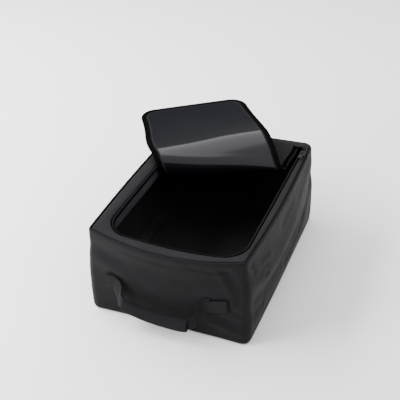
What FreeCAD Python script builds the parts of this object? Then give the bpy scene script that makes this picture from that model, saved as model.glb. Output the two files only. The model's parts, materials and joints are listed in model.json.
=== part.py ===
import FreeCAD, Part
import math
import os

import Sketcher

# Soft shoe bag with a zipped lid flap.  Millimetres, +X right, +Y to the back, +Z up,
# origin on the floor under the middle of the base.  The lid is shown unzipped and
# turned back on itself: it droops a little from its rear seam, rolls over an oblique
# fold and lies back over the rear of the bag.

SIZES = {
    # bag box: plan size at the corners, and how far the walls belly out between them
    "bag_width": 240,
    "bag_length": 360,
    "bag_height": 150,
    "side_bulge": 7,
    "end_bulge": 6,
    "corner_radius": 16,
    # layers, from the outside in
    "base_fabric": 1.5,
    "board_thickness": 2.5,
    "wall_thickness": 2.0,
    "lining_thickness": 0.8,
    "top_fabric": 1.4,
    "padding_thickness": 0.8,
    "seam_tape_width": 7,
    # zip line round the opening, and the lid, which is drawn lid_gap inside it all round
    "opening_shift": 6.2,
    "zip_half_width": 104.2,
    "zip_corner_radius": 36,
    "opening_length": 336.2,
    "lid_gap": 8.8,
    "hinge_y": 163,
    "hinge_gap": 1.0,
    "coil_width": 3.0,
    "coil_height": 2.0,
    "coil_end_y": 150,
    "tape_under_border": 8,
    "border_reveal": 6,
    "lid_reveal": 9,
    "tape_under_lid": 14,
    "zip_stop_size": 3.4,
    "zip_stop_height": 2.6,
    # how the lid is turned back
    "droop_angle": 10.3,
    "roll_skew": 17.5,
    "roll_start": 96.5,
    "roll_pitch": 13.5,
    "fold_angle": 47,
    "strip_gap": 0.4,
    "fold_axis_rise": 0.7,
    # zip slider and puller
    "slider_width": 8,
    "slider_length": 13,
    "slider_plate": 2.0,
    "slider_y": 131,
    "crown_height": 3.6,
    "puller_width": 6,
    "puller_length": 19,
    "puller_thickness": 1.4,
    "puller_bar": 1.6,
    "puller_eye": 6.4,
    "puller_rise": 0.5,
    "crown_length": 9,
    "crown_bar": 1.1,
    "running_gap": 0.4,
    # carrying handle on the front wall
    "handle_top": 74,
    "handle_offset": 1.5,
    "handle_droop": 22,
    "patch_outer_x": 92,
    "patch_width": 20,
    "patch_height": 22,
    "patch_thickness": 1.5,
    "strap_height": 21,
    "strap_thickness": 2.0,
    "strap_gap": 0.5,
    "grip_length": 98,
    "grip_shift": -10,
    "grip_height": 26,
    "grip_thickness": 8,
    "grip_depth": 29,
    "grip_wall": 0.9,
}

doc = FreeCAD.newDocument("shoe_bag")
sheet = doc.addObject("Spreadsheet::Sheet", "Sizes")
for row, (alias, value) in enumerate(SIZES.items(), start=1):
    sheet.set("A%d" % row, alias)
    sheet.set("B%d" % row, str(value))
    sheet.setAlias("B%d" % row, alias)
doc.recompute()

ROLL_STRIPS = 3
REACH = 600.0
EXTRA = 20.0
parts = []


def size(alias):
    return float(sheet.get(alias))


def cell(alias):
    return "Sizes." + alias


def bind(item, **expressions):
    """Bind properties of an object to the sheet; a dot in a name is written as __."""
    for name, expression in expressions.items():
        item.setExpression(name.replace("__", "."), expression)


def publish(item, label):
    """Give a finished piece its name and put it on the list of pieces to export."""
    item.Label = label
    parts.append(item)
    return item


def new_body(name):
    return doc.addObject("PartDesign::Body", name)


def new_sketch(body, plane_role, name):
    plane = [item for item in body.Origin.OriginFeatures if item.Role == plane_role][0]
    sketch = body.newObject("Sketcher::SketchObject", name)
    sketch.AttachmentSupport = (plane, [""])
    sketch.MapMode = "FlatFace"
    return sketch


def pad(body, sketch, length, midplane=False):
    feature = body.newObject("PartDesign::Pad", body.Name + "_pad")
    feature.Profile = sketch
    bind(feature, Length=length)
    feature.Midplane = midplane
    return feature


def upright_edges(feature, keep):
    """Names of the straight edges along Z whose foot the keep function accepts."""
    doc.recompute()
    names = []
    for number, edge in enumerate(feature.Shape.Edges, start=1):
        first, last = edge.Vertexes[0].Point, edge.Vertexes[-1].Point
        flat_gap = math.hypot(first.x - last.x, first.y - last.y)
        if abs(first.z - last.z) > 1e-6 and flat_gap < 1e-6 and keep(first):
            names.append("Edge%d" % number)
    return names


def fillet(body, feature, edges, radius):
    rounding = body.newObject("PartDesign::Fillet", body.Name + "_fillet")
    rounding.Base = (feature, edges)
    bind(rounding, Radius=radius)
    return rounding


def pin_point(sketch, geometry, corner, name, x_expression, y_expression, x_sign, y_sign):
    """Fix one sketch point at signed distances from the origin, both bound to the sheet."""
    origin, target = (-1, 1), (geometry, corner)
    for axis, sign, expression in (("X", x_sign, x_expression), ("Y", y_sign, y_expression)):
        start, end = (origin, target) if sign > 0 else (target, origin)
        index = sketch.addConstraint(Sketcher.Constraint("Distance" + axis, *start, *end, 1.0))
        sketch.renameConstraint(index, name + axis.lower())
        sketch.setExpression("Constraints." + name + axis.lower(), expression)


def bag_slab(name, inset, bottom, thickness):
    """A slab with the bag's plan outline, drawn in by inset: four bowed sides, round corners."""
    half_x = "(Sizes.bag_width / 2 - (%s))" % inset
    half_y = "(Sizes.bag_length / 2 - (%s))" % inset
    inset_now = float(doc_value(inset))
    a, b = size("bag_width") / 2 - inset_now, size("bag_length") / 2 - inset_now
    side, end = size("side_bulge"), size("end_bulge")
    side_radius = (b * b + side * side) / (2 * side)
    end_radius = (a * a + end * end) / (2 * end)
    side_turn = math.asin(b / side_radius)
    end_turn = math.asin(a / end_radius)
    bows = (
        (FreeCAD.Vector(a + side - side_radius, 0, 0), side_radius, 0.0, side_turn),
        (FreeCAD.Vector(0, b + end - end_radius, 0), end_radius, math.pi / 2, end_turn),
        (FreeCAD.Vector(side_radius - a - side, 0, 0), side_radius, math.pi, side_turn),
        (FreeCAD.Vector(0, end_radius - b - end, 0), end_radius, 1.5 * math.pi, end_turn),
    )
    body = new_body(name)
    sketch = new_sketch(body, "XY_Plane", name + "_outline")
    for centre, radius, heading, turn in bows:
        circle = Part.Circle(centre, FreeCAD.Vector(0, 0, 1), radius)
        sketch.addGeometry(Part.ArcOfCircle(circle, heading - turn, heading + turn), False)
    for arc in range(4):
        sketch.addConstraint(Sketcher.Constraint("Coincident", arc, 2, (arc + 1) % 4, 1))
    for arc, (x_sign, y_sign) in enumerate(((1, -1), (1, 1), (-1, 1), (-1, -1))):
        pin_point(sketch, arc, 1, "corner%d" % arc, half_x, half_y, x_sign, y_sign)
    radius_rule = "(({0})^2 + ({1})^2) / (2 * ({1}))"
    rules = (radius_rule.format(half_y, cell("side_bulge")), radius_rule.format(half_x, cell("end_bulge")))
    for arc in range(4):
        index = sketch.addConstraint(Sketcher.Constraint("Radius", arc, bows[arc][1]))
        sketch.renameConstraint(index, "bow%d" % arc)
        sketch.setExpression("Constraints.bow%d" % arc, rules[arc % 2])
    slab = pad(body, sketch, thickness)
    corners = upright_edges(slab, lambda foot: True)
    fillet(body, slab, corners, "Sizes.corner_radius - (%s)" % inset)
    bind(body, Placement__Base__z=bottom)
    return body


def lid_slab(name, inset, rear, bottom, thickness):
    """A slab with the lid's outline, drawn in by inset: straight at the rear, round front corners."""
    half_x = "(Sizes.zip_half_width - (%s))" % inset
    rear_edge = "(Sizes.hinge_y + (%s))" % rear
    front_edge = "(Sizes.opening_length - Sizes.hinge_y - (%s))" % inset
    values = [doc_value(text) for text in (half_x, rear_edge, front_edge)]
    a, back, front = values
    corners = ((-a, -front), (a, -front), (a, back), (-a, back))
    body = new_body(name)
    sketch = new_sketch(body, "XY_Plane", name + "_outline")
    for index, start in enumerate(corners):
        end = corners[(index + 1) % 4]
        line = Part.LineSegment(FreeCAD.Vector(*start, 0), FreeCAD.Vector(*end, 0))
        sketch.addGeometry(line, False)
    for side in range(4):
        sketch.addConstraint(Sketcher.Constraint("Coincident", side, 2, (side + 1) % 4, 1))
    signs = ((-1, -1), (1, -1), (1, 1), (-1, 1))
    for side, (x_sign, y_sign) in enumerate(signs):
        y_rule = rear_edge if y_sign > 0 else front_edge
        pin_point(sketch, side, 1, "corner%d" % side, half_x, y_rule, x_sign, y_sign)
    slab = pad(body, sketch, thickness)
    corners = upright_edges(slab, lambda foot: foot.y < 0)
    fillet(body, slab, corners, "Sizes.zip_corner_radius - (%s)" % inset)
    bind(body, Placement__Base__x=cell("opening_shift"), Placement__Base__z=bottom)
    return body


def doc_value(expression):
    """The number that a sheet expression gives now."""
    return float(sheet.evalExpression(expression))


def box(name, low, high):
    """A Part::Box between two corners given as expressions."""
    block = doc.addObject("Part::Box", name)
    for side, axis, start, end in zip(("Length", "Width", "Height"), "xyz", low, high):
        block.setExpression(side, "(%s) - (%s)" % (end, start))
        block.setExpression("Placement.Base." + axis, start)
    return block


def cut(name, base, tool):
    feature = doc.addObject("Part::Cut", name)
    feature.Base = base
    feature.Tool = tool
    return feature


def common(name, base, tool):
    feature = doc.addObject("Part::Common", name)
    feature.Base = base
    feature.Tool = tool
    return feature


# Levels of the layers, worked out once as sheet expressions.
BOARD_Z = cell("base_fabric")
BASE_LINING_Z = "Sizes.base_fabric + Sizes.board_thickness"
FLOOR_Z = BASE_LINING_Z + " + Sizes.lining_thickness"
TOP_Z = "Sizes.bag_height - Sizes.top_fabric"
TAPE_Z = TOP_Z + " - Sizes.padding_thickness"
FACING_Z = TAPE_Z + " - Sizes.lining_thickness"
LINING_OUT = cell("wall_thickness")
LINING_IN = "Sizes.wall_thickness + Sizes.lining_thickness"
SEAM_IN = LINING_IN + " + Sizes.lining_thickness"


def make_base():
    publish(bag_slab("base_outer", "0", "0", cell("base_fabric")), "base_panel")
    publish(bag_slab("base_middle", LINING_OUT, BOARD_Z, cell("board_thickness")), "base_board")
    publish(bag_slab("base_inner", LINING_OUT, BASE_LINING_Z, cell("lining_thickness")), "base_lining")


def bag_ring(name, outer, inner, bottom, top):
    """A wall-like ring between two insets of the plan outline."""
    height = "(%s) - (%s)" % (top, bottom)
    shell = bag_slab(name + "_shell", outer, bottom, height)
    hollow = bag_slab(name + "_hollow", inner, "(%s) - %g" % (bottom, EXTRA), height + " + %g" % (2 * EXTRA))
    return cut(name, shell, hollow)


def make_walls():
    """One band runs round the front and both sides; the back wall is a panel of its own."""
    ring = bag_ring("wall_ring", "0", LINING_OUT, BOARD_Z, TOP_Z)
    rear_low = ("-Sizes.bag_width", "Sizes.hinge_y", "-Sizes.bag_height")
    rear_high = ("Sizes.bag_width", "Sizes.bag_length", "Sizes.bag_height * 2")
    rear_zone = box("rear_zone", rear_low, rear_high)
    publish(cut("front_and_sides", ring, rear_zone), "wall_band")
    publish(common("rear_panel", ring, rear_zone), "back_wall")
    publish(bag_ring("lining_ring", LINING_OUT, LINING_IN, FLOOR_Z, FACING_Z), "wall_lining")
    upper_low = "%s - Sizes.seam_tape_width" % FACING_Z
    publish(bag_ring("upper_tape", LINING_IN, SEAM_IN, upper_low, FACING_Z), "top_seam_tape")
    lower_top = "%s + Sizes.seam_tape_width" % FLOOR_Z
    publish(bag_ring("lower_tape", LINING_IN, SEAM_IN, FLOOR_Z, lower_top), "base_seam_tape")


def top_layer(name, outline, reveal, bottom, thickness, label):
    """One layer of the border round the opening."""
    slab = bag_slab(name + "_slab", outline, bottom, thickness)
    low = "(%s) - %g" % (bottom, EXTRA)
    opening = lid_slab(name + "_opening", "-(%s)" % reveal, "0", low, "(%s) + %g" % (thickness, 2 * EXTRA))
    publish(cut(name, slab, opening), label)


def make_border():
    top_layer("border", "0", cell("border_reveal"), TOP_Z, cell("top_fabric"), "top_border")
    top_layer("stuffing", LINING_OUT, cell("tape_under_border"), TAPE_Z, cell("padding_thickness"),
              "top_padding")
    top_layer("facing", LINING_OUT, cell("border_reveal"), FACING_Z, cell("lining_thickness"), "top_facing")


def zip_strip(name, outer, inner, rear, bottom, thickness):
    """A U-shaped strip of the zip, between two insets of the zip line, open at the rear."""
    blank = lid_slab(name + "_blank", outer, rear, bottom, thickness)
    low = "(%s) - %g" % (bottom, EXTRA)
    inside = lid_slab(name + "_inside", inner, "%g" % EXTRA, low, "(%s) + %g" % (thickness, 2 * EXTRA))
    return cut(name, blank, inside)


COIL_REAR = "Sizes.coil_end_y - Sizes.hinge_y"


def make_bag_zip():
    """The half of the zip that is sewn to the bag, with a stop at each end of its coil."""
    tape = zip_strip("bag_tape", "-Sizes.tape_under_border", "0", "-Sizes.hinge_gap",
                     TAPE_Z, cell("padding_thickness"))
    publish(tape, "bag_zip_tape")
    coil = zip_strip("bag_coil", "-Sizes.coil_width", "0", COIL_REAR, TOP_Z, cell("coil_height"))
    publish(coil, "bag_zip_coil")
    for side, sign in (("left", "-1"), ("right", "1")):
        middle = "(Sizes.opening_shift + %s * (Sizes.zip_half_width + Sizes.coil_width / 2))" % sign
        low = (middle + " - Sizes.coil_width / 2", "Sizes.coil_end_y + 0.2", TOP_Z)
        high = (middle + " + Sizes.coil_width / 2", "Sizes.coil_end_y + Sizes.zip_stop_size",
                TOP_Z + " + Sizes.zip_stop_height")
        publish(box("stop_" + side, low, high), "zip_stop_" + side)


def ruled_box(name, start, end):
    """Everything between two distances from the rear seam, measured square to the oblique fold."""
    block = doc.addObject("Part::Box", name)
    block.Length = 2 * REACH
    block.Height = REACH
    block.setExpression("Width", "(%s) - (%s)" % (end, start))
    skew = math.radians(size("roll_skew"))
    far = doc_value(end)
    x = size("opening_shift") - REACH * math.cos(skew) + far * math.sin(skew)
    y = size("hinge_y") - REACH * math.sin(skew) - far * math.cos(skew)
    turn = FreeCAD.Rotation(FreeCAD.Vector(0, 0, 1), size("roll_skew"))
    block.Placement = FreeCAD.Placement(FreeCAD.Vector(x, y, -REACH / 4), turn)
    return block


def about(point, axis, angle):
    """Rotation by angle in degrees about an axis through a point."""
    turn = FreeCAD.Rotation(axis, angle)
    return FreeCAD.Placement(point - turn.multVec(point), turn)


def lid_stations():
    """Each strip of the lid: its name, its cutter and the placement that turns it back."""
    gap = "Sizes.strip_gap / 2"
    folds = ["(Sizes.roll_start + %d * Sizes.roll_pitch)" % step for step in range(ROLL_STRIPS + 1)]
    fold_z = size("bag_height") + size("fold_axis_rise")
    rear_seam = FreeCAD.Vector(0, size("hinge_y") - size("hinge_gap") / 2, fold_z)
    placement = about(rear_seam, FreeCAD.Vector(1, 0, 0), size("droop_angle"))
    stations = [("root", ruled_box("root_cutter", "-%g" % REACH, "%s - %s" % (folds[0], gap)), placement)]
    skew = math.radians(size("roll_skew"))
    ruling = FreeCAD.Vector(math.cos(skew), math.sin(skew), 0)
    for step, fold in enumerate(folds):
        along = doc_value(fold)
        point = FreeCAD.Vector(size("opening_shift") + along * math.sin(skew),
                               size("hinge_y") - along * math.cos(skew), fold_z)
        placement = placement.multiply(about(point, -ruling, size("fold_angle")))
        last = step == ROLL_STRIPS
        end = "%g" % REACH if last else "%s - %s" % (folds[step + 1], gap)
        name = "main" if last else "roll_%d" % (step + 1)
        stations.append((name, ruled_box(name + "_cutter", "%s + %s" % (fold, gap), end), placement))
    return stations


def make_lid():
    """The lid's layers, laid out flat and shut, then cut across its folds; the turns come back."""
    rear = "-Sizes.hinge_gap"
    edge = cell("lid_gap")
    panel_edge = "Sizes.lid_gap + Sizes.lid_reveal"
    tape_edge = "Sizes.lid_gap + Sizes.tape_under_lid"
    coil_edge = "Sizes.lid_gap + Sizes.coil_width"
    layers = {
        "outer": lid_slab("lid_outer", panel_edge, rear, TOP_Z, cell("top_fabric")),
        "padding": lid_slab("lid_padding", tape_edge, rear, TAPE_Z, cell("padding_thickness")),
        "lining": lid_slab("lid_lining", panel_edge, rear, FACING_Z, cell("lining_thickness")),
        "zip_tape": zip_strip("lid_tape", edge, tape_edge, rear, TAPE_Z, cell("padding_thickness")),
        "zip_coil": zip_strip("lid_coil", edge, coil_edge, COIL_REAR, TOP_Z, cell("coil_height")),
    }
    turns = {}
    for station, cutter, placement in lid_stations():
        for layer, blank in layers.items():
            piece = publish(common("%s_%s" % (layer, station), blank, cutter),
                            "flap_%s_%s" % (layer, station))
            turns[piece.Label] = placement
    return turns


def polygon(sketch, points):
    """A closed run of straight lines in a sketch, joined end to end."""
    first = sketch.GeometryCount
    for index, start in enumerate(points):
        end = points[(index + 1) % len(points)]
        line = Part.LineSegment(FreeCAD.Vector(*start, 0), FreeCAD.Vector(*end, 0))
        sketch.addGeometry(line, False)
    for index in range(len(points)):
        after = first + (index + 1) % len(points)
        sketch.addConstraint(Sketcher.Constraint("Coincident", first + index, 2, after, 1))


def make_slider():
    """The slider rides the bag's side of the zip; the puller hangs on the bar of its crown."""
    inner = "(Sizes.opening_shift + Sizes.zip_half_width)"
    middle = "(%s + Sizes.slider_width / 2)" % inner
    plate_z = "(%s + Sizes.coil_height + Sizes.running_gap)" % TOP_Z
    body = new_body("slider_body")
    sketch = new_sketch(body, "XY_Plane", "slider_outline")
    wide, long = size("slider_width") / 2, size("slider_length") / 2
    nose = 0.35
    polygon(sketch, [(-wide, -long * nose), (-wide * nose, -long), (wide * nose, -long), (wide, -long * nose),
                     (wide, long * nose), (wide * nose, long), (-wide * nose, long), (-wide, long * nose)])
    plate = pad(body, sketch, cell("slider_plate"))
    doc.recompute()
    top_edges = ["Edge%d" % number for number, edge in enumerate(plate.Shape.Edges, start=1)
                 if min(vertex.Point.z for vertex in edge.Vertexes) > size("slider_plate") - 1e-6]
    fillet(body, plate, top_edges, "Sizes.slider_plate * 0.4")
    bind(body, Placement__Base__x=middle, Placement__Base__y=cell("slider_y"), Placement__Base__z=plate_z)
    flange_x = "%s + Sizes.coil_width + Sizes.running_gap" % inner
    flange = box("slider_flange", (flange_x, "Sizes.slider_y - 4", TOP_Z + " + Sizes.running_gap"),
                 (flange_x + " + 1", "Sizes.slider_y + 4", plate_z + " + 0.5"))
    joined = doc.addObject("Part::Fuse", "slider_plates")
    joined.Base = body
    joined.Tool = flange
    publish(joined, "zip_slider")

    deck = "(%s + Sizes.slider_plate)" % plate_z
    rear, front = "(Sizes.slider_y + Sizes.crown_length / 2)", "(Sizes.slider_y - Sizes.crown_length / 2)"
    legs = box("crown_block", (middle + " - Sizes.crown_bar", front, deck),
               (middle + " + Sizes.crown_bar", rear, deck + " + Sizes.crown_height"))
    window = box("crown_window",
                 (middle + " - Sizes.slider_width", front + " + Sizes.crown_bar", deck + " - 1"),
                 (middle + " + Sizes.slider_width", rear + " - Sizes.crown_bar",
                  deck + " + Sizes.crown_height - 1"))
    publish(cut("crown", legs, window), "zip_slider_crown")

    puller = new_body("puller_body")
    tab = new_sketch(puller, "XY_Plane", "puller_outline")
    half, length, tip = size("puller_width") / 2, size("puller_length"), 1.6
    polygon(tab, [(-half, 0), (half, 0), (half, tip - length), (half - tip, -length),
                  (tip - half, -length), (-half, tip - length)])
    bar, eye_half, eye_end = size("puller_bar"), 1.7, size("puller_eye")
    polygon(tab, [(-eye_half, -eye_end), (eye_half, -eye_end), (eye_half, -bar), (-eye_half, -bar)])
    pad(puller, tab, cell("puller_thickness"))
    bind(puller, Placement__Base__x=middle, Placement__Base__y="Sizes.slider_y + 1.4",
         Placement__Base__z=deck + " + Sizes.puller_rise")
    publish(puller, "zip_puller")


def make_patches():
    """The sewn-down ends of the handle strap, lying on the bowed front wall."""
    shell = bag_ring("patch_shell", "-0.1 - Sizes.patch_thickness", "-0.1", "0", cell("bag_height"))
    low_z = "(Sizes.handle_top - Sizes.patch_height + 3)"
    for side, sign in (("left", -1), ("right", 1)):
        edges = ["%d * Sizes.patch_outer_x" % sign,
                 "%d * (Sizes.patch_outer_x - Sizes.patch_width)" % sign]
        if sign > 0:
            edges.reverse()
        zone = box("patch_zone_" + side, (edges[0], "-Sizes.bag_length", low_z),
                   (edges[1], "0", low_z + " + Sizes.patch_height"))
        publish(common("patch_" + side, shell, zone), "handle_patch_" + side)


def make_handle():
    """Strap, padding and stitched cover of the handle, drawn flat and then let droop."""
    start = doc_value("Sizes.patch_outer_x - Sizes.patch_width - Sizes.strap_gap")
    grip_left = doc_value("Sizes.grip_shift - Sizes.grip_length / 2")
    grip_right = doc_value("Sizes.grip_shift + Sizes.grip_length / 2")
    tall = size("strap_height")
    depth = doc_value("Sizes.grip_depth + (Sizes.grip_height - Sizes.strap_height) / 2")
    outline = ((-start, 0), (grip_left, -depth), (grip_right, -depth), (start, 0),
               (start, -tall), (grip_right, -depth - tall), (grip_left, -depth - tall), (-start, -tall))
    strap = new_body("strap_body")
    sketch = new_sketch(strap, "XZ_Plane", "strap_outline")
    polygon(sketch, outline)
    pad(strap, sketch, cell("strap_thickness"), midplane=True)
    publish(strap, "handle_strap")

    half = "Sizes.grip_thickness / 2"
    low = ("Sizes.grip_shift - Sizes.grip_length / 2", "-" + half, "-Sizes.grip_depth - Sizes.grip_height")
    high = ("Sizes.grip_shift + Sizes.grip_length / 2", half, "-Sizes.grip_depth")
    outside = box("grip_block", low, high)
    doc.recompute()
    rounded = doc.addObject("Part::Fillet", "grip_rounded")
    rounded.Base = outside
    long_edges = [number + 1 for number, edge in enumerate(outside.Shape.Edges)
                  if abs(edge.Vertexes[0].Point.x - edge.Vertexes[-1].Point.x) > 1]
    radius = size("grip_thickness") * 0.42
    rounded.Edges = [(number, radius, radius) for number in long_edges]
    inside_low = (low[0] + " - 1", low[1] + " + Sizes.grip_wall", low[2] + " + Sizes.grip_wall * 2")
    inside_high = (high[0] + " + 1", high[1] + " - Sizes.grip_wall", high[2] + " - Sizes.grip_wall * 2")
    publish(cut("grip_cover", rounded, box("grip_hollow", inside_low, inside_high)), "handle_grip_cover")
    for side, sign in (("front", -1), ("back", 1)):
        near = "%d * (Sizes.strap_thickness / 2 + 0.1)" % sign
        far = "%d * (%s - Sizes.grip_wall - 0.1)" % (sign, half)
        faces = [far, near] if sign < 0 else [near, far]
        slab_low = (low[0] + " + 1", faces[0], low[2] + " + Sizes.grip_wall * 2 + 0.2")
        slab_high = (high[0] + " - 1", faces[1], high[2] + " - Sizes.grip_wall * 2 - 0.2")
        publish(box("grip_slab_" + side, slab_low, slab_high), "handle_padding_" + side)


def place(item, placement):
    """Move a piece that was drawn flat to where it rests."""
    for path in ("Placement.Base.x", "Placement.Base.y", "Placement.Base.z"):
        item.setExpression(path, None)
    item.Placement = placement.multiply(item.Placement)


make_base()
make_walls()
make_border()
make_bag_zip()
lid_turns = make_lid()
make_slider()
make_patches()
handle_start = len(parts)
make_handle()
doc.recompute()

hang_y = -doc_value("Sizes.bag_length / 2 + Sizes.end_bulge + Sizes.handle_offset")
hang_point = FreeCAD.Vector(0, hang_y, size("handle_top"))
droop = FreeCAD.Rotation(FreeCAD.Vector(1, 0, 0), -size("handle_droop"))
for item in parts[handle_start:]:
    place(item, FreeCAD.Placement(hang_point, droop))
for item in parts[:handle_start]:
    if item.Label in lid_turns:
        place(item, lid_turns[item.Label])
doc.recompute()

for item in doc.Objects:
    if "Invalid" in item.State or "Error" in item.State:
        raise RuntimeError("%s failed: %s" % (item.Label, item.State))
for item in parts:
    if item.Shape.isNull() or not item.Shape.isValid() or not item.Shape.Solids:
        raise RuntimeError("%s has no valid solid" % item.Label)

os.makedirs("parts", exist_ok=True)
for item in parts:
    item.Shape.exportStep(os.path.join("parts", item.Label + ".step"))
    print("%-24s %9.0f mm3" % (item.Label, item.Shape.Volume))
print(len(parts), "pieces")
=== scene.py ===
import json
import math

import bpy
import numpy as np
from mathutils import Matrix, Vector, noise

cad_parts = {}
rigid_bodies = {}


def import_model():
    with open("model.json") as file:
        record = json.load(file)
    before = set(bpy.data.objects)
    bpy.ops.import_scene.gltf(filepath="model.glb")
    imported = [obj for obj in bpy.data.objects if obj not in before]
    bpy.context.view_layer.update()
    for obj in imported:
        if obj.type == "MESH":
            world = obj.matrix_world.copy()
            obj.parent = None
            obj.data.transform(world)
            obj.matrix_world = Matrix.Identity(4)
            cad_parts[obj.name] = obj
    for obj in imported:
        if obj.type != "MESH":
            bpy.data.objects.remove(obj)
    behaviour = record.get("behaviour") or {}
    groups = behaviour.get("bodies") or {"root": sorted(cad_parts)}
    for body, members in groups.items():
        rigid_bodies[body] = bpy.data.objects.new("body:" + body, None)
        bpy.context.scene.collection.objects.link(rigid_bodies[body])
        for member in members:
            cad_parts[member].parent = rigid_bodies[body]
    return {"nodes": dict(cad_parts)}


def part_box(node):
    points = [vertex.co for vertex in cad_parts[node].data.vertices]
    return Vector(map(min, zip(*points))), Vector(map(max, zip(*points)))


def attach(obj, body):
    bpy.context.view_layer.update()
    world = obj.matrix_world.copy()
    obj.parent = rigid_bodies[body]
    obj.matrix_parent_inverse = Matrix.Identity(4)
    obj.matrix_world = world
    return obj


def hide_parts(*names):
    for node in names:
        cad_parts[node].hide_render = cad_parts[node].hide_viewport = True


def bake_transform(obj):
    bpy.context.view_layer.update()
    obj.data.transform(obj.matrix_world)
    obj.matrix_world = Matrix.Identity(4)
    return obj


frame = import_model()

# Looks of the soft shoe bag.  Shapes are worked out in millimetres in the part's own frame
# (+X right, +Y back, +Z up) and turned to metres when a mesh is made.

MM = 0.001
UPWARD = np.array([0.0, 0.0, 1.0])
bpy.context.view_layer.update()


def node_box(node):
    """Lowest and highest corner of a CAD node, in millimetres."""
    low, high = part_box(node)
    return np.array(low) / MM, np.array(high) / MM


# ---------------------------------------------------------------- sizes taken from the frame
BASE_HIGH = node_box("base_panel")[1]
BORDER_HIGH = node_box("top_border")[1]
COIL_LOW, COIL_HIGH = node_box("bag_zip_coil")
LID_SHIFT = (COIL_LOW[0] + COIL_HIGH[0]) / 2
SIDE_BOW = 7.0
END_BOW = 6.0
HALF_X = BASE_HIGH[0] - SIDE_BOW
HALF_Y = BASE_HIGH[1] - END_BOW
HEIGHT = BORDER_HIGH[2]
BACK_RADIUS = 16.0
COIL_WIDTH = 3.0
ZIP_LEFT = COIL_LOW[0] + COIL_WIDTH
ZIP_RIGHT = COIL_HIGH[0] - COIL_WIDTH
ZIP_FRONT = COIL_LOW[1] + COIL_WIDTH
ZIP_REAR = COIL_HIGH[1]
ZIP_RADIUS = 36.0
BORDER_REVEAL = 2.2
HINGE_Y = node_box("bag_zip_tape")[1][1] + 1.0
LID_GAP = 8.8
LINING_FLOOR = node_box("base_lining")[1][2]

# ---------------------------------------------------------------- the turned-back lid
LID_HALF = (ZIP_RIGHT - ZIP_LEFT) / 2 - LID_GAP
LID_LENGTH = HINGE_Y - ZIP_FRONT - LID_GAP
LID_RADIUS = ZIP_RADIUS - LID_GAP
SEAM_RUN = 0.5
DROOP = math.radians(10.3)
SKEW = math.radians(17.5)
FOLD = math.radians(47.0)
PITCH = 13.5
FOLD_COUNT = 4
FIRST_FOLD = 96.5
FOLD_LEVEL = HEIGHT + 0.7
LINING_LEVEL = HEIGHT - 3.0
ROLL_START = FIRST_FOLD - PITCH / 2
ROLL_END = ROLL_START + FOLD_COUNT * PITCH
ROLL_RADIUS = PITCH / 2 / math.tan(FOLD / 2)


def smooth(start, end, value):
    """0 before start, 1 after end, and an even S between."""
    share = np.clip((value - start) / (end - start), 0.0, 1.0)
    return share * share * (3.0 - 2.0 * share)


def stack(x, y, z):
    return np.stack(np.broadcast_arrays(x, y, z), axis=-1).astype(float)


def settle(points):
    """The slump of soft walls: the sides belly out low down, the front leans out and its rim dips."""
    x, y, z = points[..., 0], points[..., 1], points[..., 2]
    right, back = x / HALF_X, y / HALF_Y
    up = np.clip(z / HEIGHT, 0.0, 1.1)
    across = 1.0 - np.clip(right ** 2, 0.0, 1.0)
    along = 1.0 - np.clip(back ** 2, 0.0, 1.0)
    low = 1.0 - smooth(0.42, 1.0, up)
    belly = 4.0 * up * np.clip(1.0 - up, 0.0, 1.0)
    near_right, near_left = smooth(0.25, 0.9, right), smooth(0.25, 0.9, -right)
    near_front, near_back = smooth(0.45, 0.95, -back), smooth(0.45, 0.95, back)
    out_x = near_right * (7.0 * low + along * (2.0 + 5.5 * up + 3.0 * belly) + 1.5 * smooth(0.2, 1.0, back))
    out_x = out_x - near_left * (6.0 * low + along * (1.0 + 4.0 * up + 7.0 * belly))
    out_y = near_back * (2.0 * low + across * (3.0 + 3.0 * up + 3.0 * belly))
    out_y = out_y - near_front * (2.5 + across * (15.5 * up ** 2 - 2.5 * low + 2.0 * belly))
    rim_dip = near_front * across * 9.5 + near_back * across * 6.0
    rim_dip = rim_dip + (near_right * 1.0 + near_left * 2.0) * along
    return stack(x + out_x, y + out_y, z - up ** 2 * rim_dip)


def settle_opening(points):
    """The slump of the zip line: it keeps its plan and only sinks with the rim."""
    x, y, z = points[..., 0], points[..., 1], points[..., 2]
    across = 1.0 - np.clip((x / HALF_X) ** 2, 0.0, 1.0)
    along = 1.0 - np.clip((y / HALF_Y) ** 2, 0.0, 1.0)
    front = smooth(0.45, 0.95, -y / HALF_Y)
    back = smooth(0.45, 0.95, y / HALF_Y)
    sink = across * (7.5 * front + 5.0 * back) + 1.5 * along
    return stack(x, y - 2.0 * across * front, z - sink)


# ---------------------------------------------------------------- mesh making
def surface_normals(points, closed_u=False):
    """Unit normals of a grid of points, from its two directions."""
    if closed_u:
        along_u = np.roll(points, -1, 0) - np.roll(points, 1, 0)
    else:
        along_u = np.gradient(points, axis=0)
    along_v = np.gradient(points, axis=1)
    normals = np.cross(along_u, along_v)
    return normals / np.maximum(np.linalg.norm(normals, axis=-1, keepdims=True), 1e-9)


def running_length(points, axis):
    """Length along a grid's middle line, used as its texture coordinate."""
    line = points[:, points.shape[1] // 2] if axis == 0 else points[points.shape[0] // 2]
    steps = np.linalg.norm(np.diff(line, axis=0), axis=1)
    return np.concatenate([[0.0], np.cumsum(steps)]) * MM


def mesh_object(name, vertices, faces, uvs=None):
    mesh = bpy.data.meshes.new(name)
    mesh.from_pydata((np.asarray(vertices) * MM).tolist(), [], [list(face) for face in faces])
    if uvs is not None:
        layer = mesh.uv_layers.new(name="cloth")
        layer.data.foreach_set("uv", np.asarray(uvs, float).ravel())
    mesh.polygons.foreach_set("use_smooth", [True] * len(mesh.polygons))
    mesh.update()
    piece = bpy.data.objects.new(name, mesh)
    bpy.context.scene.collection.objects.link(piece)
    return piece


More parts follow.
